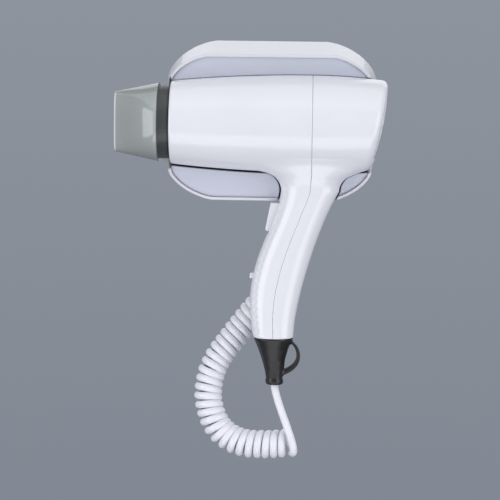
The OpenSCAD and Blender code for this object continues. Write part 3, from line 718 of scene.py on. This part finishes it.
def cord_path():
    """The whole cord's middle line: tail, curl and lead."""
    tail = smooth_path(TAIL_ROUTE, PATH_STEP)
    lead = smooth_path(LEAD_ROUTE, PATH_STEP)
    axis = smooth_path(COIL_ROUTE, 0.5)
    u, v = frames_along(axis)
    along = np.concatenate([[0], np.cumsum(np.linalg.norm(np.diff(axis, axis=0), axis=1))])
    turns = math.floor(along[-1] / (CORD_D + 0.25))
    per_turn = 22
    want = np.linspace(0, along[-1], turns * per_turn + 1)
    centre, uu, vv = (np.stack([np.interp(want, along, q[:, n]) for n in range(3)], 1)
                      for q in (axis, u, v))
    start = tail[-1] - axis[0]
    phase = math.atan2(start @ v[0], start @ u[0])
    spin = phase + CURL_TURN * 2 * math.pi * np.arange(len(want)) / per_turn
    curl = centre + CURL_R * (uu * np.cos(spin)[:, None] + vv * np.sin(spin)[:, None])
    def bridge(a, b, count=10):
        ta, tb = a[-1] - a[-2], b[1] - b[0]
        size = np.linalg.norm(b[0] - a[-1]) * 0.9
        ta, tb = ta / np.linalg.norm(ta) * size, tb / np.linalg.norm(tb) * size
        t = np.linspace(0, 1, count + 2)[1:-1, None]
        return ((2 * t ** 3 - 3 * t ** 2 + 1) * a[-1] + (t ** 3 - 2 * t ** 2 + t) * ta
                + (3 * t ** 2 - 2 * t ** 3) * b[0] + (t ** 3 - t ** 2) * tb)
    skip = per_turn // 3
    curl = curl[skip:-skip]
    return np.concatenate([tail[:-2], bridge(tail[:-2], curl), curl, bridge(curl, lead), lead])


def make_cord(mats):
    path = cord_path()
    verts, faces = tube_mesh(path, CORD_D / 2)
    cord = add_mesh("curly_cord", verts, faces, mats["cord_white"])
    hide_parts("cord_tail", "cord_coil", "cord_lead")
    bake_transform(cord)


# ---- one closed mesh from a signed distance ------------------------------------

def solid_piece(name, sdf, axes, mat, place=None):
    """A closed piece on the surface of sdf; place turns its own frame into the part's."""
    points, quads = surface_net(sdf, axes)
    points = settle(sdf, points)
    if place is not None:
        points = points @ np.array(place.to_3x3()).T + np.array(place.translation)
    return add_mesh(name, points, quads, mat)


def box3(p, half, r):
    """Distance from a rounded box about the origin."""
    q = np.abs(p) - np.array(half) + r
    return np.linalg.norm(np.maximum(q, 0), axis=1) + np.minimum(q.max(1), 0) - r


# ---- the holder ------------------------------------------------------------------

def outline_sdf(x, z, hw, top, bottom, wide, high, power, low):
    """Distance from the holder's outline, whose corners are flattened rounds."""
    up = z > 0
    w = np.where(up, wide, np.where(x < 0, 38.0, 36.0))
    h = np.where(up, high, low)
    dx = np.abs(x) - hw + w
    dz = np.where(up, z - top, bottom - z) + h
    n = np.where(up, power, 1.55)
    qx, qz = np.maximum(dx, 1e-6) / w, np.maximum(dz, 1e-6) / h
    share = (qx ** n + qz ** n) ** (1 / n)
    steep = share ** (1 - n) * np.hypot(qx ** (n - 1) / w, qz ** (n - 1) / h)
    corner = (share - 1) / np.maximum(steep, 0.02)
    return np.where((dx > 0) & (dz > 0), np.maximum(corner, -9), np.maximum(dx - w, dz - h))


def flared(p):
    """Distance from the holder's sides, which draw in towards its face."""
    k = -p[:, 1] / HOLDER_D
    return outline_sdf(p[:, 0] - HOLDER_X, p[:, 2], *(a + (b - a) * k for a, b in zip(AT_WALL, AT_FACE)))


def room_sdf(p, gap):
    """Distance from the bed and the slot that the handset needs."""
    x, y, z = p.T
    r = np.where(x < -83.6, 36.4, barrel_at(x)) + gap
    bed = np.hypot(y - AY, z - AZ + BED_DROP) - r
    low = np.minimum(z, -30)
    front, rear = edge_front(low) - gap, edge_rear(low) + gap
    tilt_f = (edge_front(low + 0.2) - edge_front(low)) / 0.2
    tilt_r = (edge_rear(low + 0.2) - edge_rear(low)) / 0.2
    slot = np.maximum((front - x) / np.hypot(1, tilt_f), (x - rear) / np.hypot(1, tilt_r))
    slot = np.maximum.reduce([slot, y + 23 - gap, z + 34])
    return round_union(bed, slot, 0.8)


def shell_sdf(p):
    """The cover: thin sides and a rim, open at the wall, where the bed and the slot cut it."""
    sides = flared(p)
    x, y, z = p.T
    wall = round_cut(sides, -HOLDER_D - y, 1.1)
    wall = np.maximum(wall, -(sides + SHELL_WALL))
    wall = round_cut(wall, -room_sdf(p, CRADLE_GAP + 0.3), 0.5)
    gland = 5.0 - np.hypot(x - 22, y + 13)
    return np.maximum.reduce([wall, y, np.where(z < -50, gland, -9)])


def liner_sdf(p):
    """The inner moulding: its face, set back from the rim, and the wall of the bed."""
    y = p[:, 1]
    inside = flared(p) + SHELL_WALL + 0.25
    room = room_sdf(p, CRADLE_GAP)
    face = 2 - HOLDER_D
    body = np.maximum(np.minimum(y - face - 2, room - 1.8), inside)
    return np.maximum(round_cut(np.maximum(body, face - y), -room, 0.7), y + 2.5)


def make_holder(mats):
    step = 0.7
    axes = (spaced(-92, step, 92), spaced(-49, step, 1.5), spaced(-72, step, 68))
    stand_for(solid_piece("shell", shell_sdf, axes, mats["holder_white"]), "holder", "holder_white",
              "holder_shell")
    axes = (spaced(-88, step, 88), spaced(-47, step, -1), spaced(-70, step, 64))
    stand_for(solid_piece("liner", liner_sdf, axes, mats["liner_grey"]), "holder", "liner_grey",
              "cradle_liner")


# ---- the nozzle ------------------------------------------------------------------

def nozzle_ring(k, off):
    """A section of the nozzle: k = 0 at the round base and 1 at the flat mouth."""
    base = FRONT_X - 1.2
    mouth = base - NOZZLE_LEN + 1
    grow = min(max((k - 0.12) / 0.88, 0), 1)
    flat = math.cos(math.pi / 2 * grow) ** 1.2
    hz = NOZZLE_R * (1 - k) + MOUTH_H / 2 * k - off
    hy = NOZZLE_R * flat + MOUTH_D / 2 * (1 - flat) - off
    a = np.linspace(0, 2 * math.pi, NOZZLE_SIDES, endpoint=False)
    s = 1 - 0.3 * min(max(k, 0), 1)
    y = AY + hy * np.sign(np.sin(a)) * np.abs(np.sin(a)) ** s
    z = AZ + hz * np.sign(np.cos(a)) * np.abs(np.cos(a)) ** s
    return np.stack([np.full(NOZZLE_SIDES, base + (mouth - base) * k), y, z], 1)


def make_nozzle(mats):
    """A closed loft: out along the outside, round the lip and back along the inside."""
    wall, lip, steps = 1.7, 0.8, 44
    share = lip / (NOZZLE_LEN - 1)
    rounds = [math.radians(a) for a in range(0, 181, 30)]
    rings = [nozzle_ring(k, 0) for k in np.linspace(share, 1 - share, steps)]
    for a in rounds[1:-1]:
        rings.append(nozzle_ring(1 - share + share * math.sin(a), lip * (1 - math.cos(a))))
    rings += [nozzle_ring(k, wall) for k in np.linspace(1 - share, 0.22, steps)]
    socket = 30.12
    a = np.linspace(0, 2 * math.pi, NOZZLE_SIDES, endpoint=False)
    for x in (FRONT_X - 11.6, FRONT_X - 11.2, FRONT_X - 1.6):
        rings.append(np.stack([np.full(NOZZLE_SIDES, x), AY + socket * np.sin(a),
                               AZ + socket * np.cos(a)], 1))
    for a in rounds[1:-1]:
        rings.append(nozzle_ring(share - share * math.sin(a), 4.1 * (1 + math.cos(a)) / 2))
    count = NOZZLE_SIDES
    faces = []
    for j in range(len(rings)):
        for i in range(count):
            a, b = j * count + i, j * count + (i + 1) % count
            c, d = ((j + 1) % len(rings)) * count + (i + 1) % count, ((j + 1) % len(rings)) * count + i
            faces.append([a, d, c, b])
    obj = add_mesh("clear_nozzle", np.concatenate(rings), faces, mats["smoke_clear"])
    stand_for(obj, "nozzle", "smoke_clear", "nozzle")


# ---- the filter cap ----------------------------------------------------------------

def cap_sdf(p):
    """In the cap's own frame: +Z points out of the barrel."""
    x, y, z = p.T
    rho = np.hypot(x, y)
    flange = round_cut(np.maximum(rho - CAP_R, -2.2 - z), z - dome(rho), 0.5)
    skirt = np.maximum.reduce([rho - CAP_R + 2, -8.4 - z, z + 1])
    turn = np.arctan2(y, x)
    solid = np.minimum(flange, skirt)
    for i in range(3):
        a = 2 * math.pi * i / 3
        u, v = x * math.cos(a) + y * math.sin(a), y * math.cos(a) - x * math.sin(a)
        lug = box3(np.stack([u - CAP_R + 2.1, v, z + 7.4], 1), (1.9, 4, 1), 0.3)
        solid = np.minimum(solid, lug)
    hollow = np.maximum(rho - CAP_R + 3.6, z + 1)
    ring = np.abs((rho - 6 + 2.3) % 4.6 - 2.3) - 1.5
    ring = np.maximum.reduce([ring, 4.5 - rho, rho - 26])
    spoke = rho * np.abs(np.sin((turn + math.pi / 12) % (math.pi / 6) - math.pi / 12)) - 0.9
    slots = round_cut(ring, -spoke, 0.5)
    a = math.radians(-95)
    notch = np.hypot(x - (CAP_R + 0.6) * math.cos(a), y - (CAP_R + 0.6) * math.sin(a)) - 2
    solid = np.maximum.reduce([solid, -hollow, -notch])
    return round_cut(solid, -slots, 0.35)


def make_cap(mats):
    place = Matrix.Translation((REAR_X, AY, AZ)) @ Matrix.Rotation(math.pi / 2 + REAR_TILT, 4, "Y")
    step = 0.45
    axes = (spaced(-33, step, 33), spaced(-33, step, 33), spaced(-9.5, 0.45, 3.5))
    obj = solid_piece("grille_cap", cap_sdf, axes, mats["cap_white"], place)
    stand_for(obj, "filter_cap", "cap_white", "filter_cap")


# ---- the controls and the strain relief ---------------------------------------------

def polygon_sdf(u, w, corners):
    """Distance from a polygon, negative inside it."""
    far = np.full(len(u), 1e9)
    sign = np.ones(len(u))
    for (ax, az), (bx, bz) in zip(corners, corners[1:] + corners[:1]):
        ex, ez = bx - ax, bz - az
        px, pz = u - ax, w - az
        t = np.clip((px * ex + pz * ez) / (ex * ex + ez * ez), 0, 1)
        far = np.minimum(far, np.hypot(px - ex * t, pz - ez * t))
        over = (az > w) != (bz > w)
        hit = over & (u < ax + (w - az) * ex / (ez if ez else 1e-9))
        sign = np.where(hit, -sign, sign)
    return far * sign


def trigger_sdf(p):
    x, y, z = p.T
    px, pz = TRIGGER_PIN
    side = [(0.3, -67.8), (-3.9, -89.3), (-3.2, -91.2), (0, -91.4), (6.5, -88), (8, -80), (12.5, -69),
            (12.5, -67.8)]
    face = polygon_sdf(x, z, side)
    boss = np.hypot(x - px, z - pz) - 3
    body = round_cut(np.minimum(face, boss), np.abs(y - AY) - 5.5, 1.0)
    pin = 1.36 - np.hypot(x - px, z - pz)
    ribs = 0.35 * np.exp(-(((z + 84) % 2.4 - 1.2) / 0.5) ** 2) * (np.abs(z + 80) < 6.4)
    return np.maximum(body + ribs * (np.abs(y - AY) < 4.2), pin)


def slide_x():
    """Where the handle's front is, at the height of the slider."""
    return float(edge_front(np.array([SLIDE_Z]))[0])


def knob_sdf(p):
    q = p - np.array([slide_x(), AY, SLIDE_Z])
    cap = box3(q - np.array([-0.1, 0, 0]), (2.5, 2.2, 2.4), 0.7)
    ribs = 0.3 * np.exp(-((q[:, 2] % 1.4 - 0.7) / 0.3) ** 2) * (q[:, 0] < -1.5)
    stem = box3(q - np.array([3.4, 0, 0]), (1.8, 2.2, 2.4), 0.1)
    plate = box3(q - np.array([5.6, 0, 0]), (0.6, 3.6, 4), 0.1)
    return np.minimum.reduce([cap + ribs, stem, plate])


# Each section: its height, half width, half depth and middle x.
RELIEF = ((RELIEF_FOOT, 6.4, 6.4, 5.4), (-218.8, 7.3, 7.3, 5.4), (-216.4, 7.5, 7.5, 5.3),
          (-214.6, 6.9, 6.9, 5.2), (-209, 7.6, 7.6, 5), (-199, 9.5, 9.3, 4.2),
          (-189.5, 12.6, 11.5, 3.9), (-182.5, 15.9, 13.7, 4), (-180.4, 16.4, 14.2, 4))
LOOP_OUT = [(12, -180.4), (29, -183), (34, -204), (20, -211), (6, -214)]
LOOP_IN = [(17.4, -184.6), (25.5, -188), (27, -203), (18, -204), (12.6, -207.6)]


def curve_points(controls):
    t = np.linspace(0, 1, 19)
    x, z = (bez([c[n] for c in controls], t) for n in (0, 1))
    return list(zip(x.tolist(), z.tolist()))


def relief_sdf(p):
    """The tapered boot, with sections from RELIEF, its plug in the handle and its loop."""
    x, y, z = p.T
    zs, w, d, cx = (np.array(c) for c in zip(*RELIEF))
    w, d, cx = (np.interp(z, zs, c) for c in (w, d, cx))
    share = np.hypot((x - cx) / w, (y - AY) / d)
    far = np.hypot(x - cx, y - AY)
    side = np.where(far > 1e-6, far * (1 - 1 / np.maximum(share, 1e-3)), -9) * 0.93
    body = round_cut(side, np.maximum(RELIEF_FOOT - z, z + 180.5), 0.7)
    plug = np.maximum(side + 2.3, np.maximum(z + 174, -181 - z))
    outer = polygon_sdf(x, z, curve_points(LOOP_OUT) + [(6, -181)])
    inner = polygon_sdf(x, z, curve_points(LOOP_IN) + [(13.2, -199), (15.4, -190)])
    loop = round_cut(np.maximum(outer, -inner), np.abs(y - AY) - 3, 1.5)
    bore = CORD_D / 2 + 0.05 - np.hypot(x - 5.4, y - AY)
    return np.maximum(np.minimum(round_union(body, loop, 2.0), plug), bore)


def make_controls(mats):
    axes = (spaced(-5.5, 0.4, 14), spaced(AY - 6.5, 0.4, AY + 6.5), spaced(-92.5, 0.4, -66.5))
    stand_for(solid_piece("push_trigger", trigger_sdf, axes, mats["trigger_white"]), "trigger",
              "trigger_white", "trigger")
    x0 = slide_x()
    axes = (spaced(x0 - 4, 0.3, x0 + 7.5), spaced(AY - 4.5, 0.3, AY + 4.5),
            spaced(SLIDE_Z - 5, 0.3, SLIDE_Z + 5))
    stand_for(solid_piece("speed_knob", knob_sdf, axes, mats["trigger_white"]), "speed_slider",
              "trigger_white", "speed_slider")
    step = 0.5
    axes = (spaced(-14, step, 28), spaced(AY - 16, step, AY + 16), spaced(-221.5, step, -172.5))
    stand_for(solid_piece("relief_and_loop", relief_sdf, axes, mats["relief_black"]), "handset",
              "relief_black", "strain_relief")


MATS = make_materials()
make_camera()
make_light()
make_cord(MATS)
dress_cad(MATS)
make_casing(MATS)
make_holder(MATS)
make_nozzle(MATS)
make_cap(MATS)
make_controls(MATS)
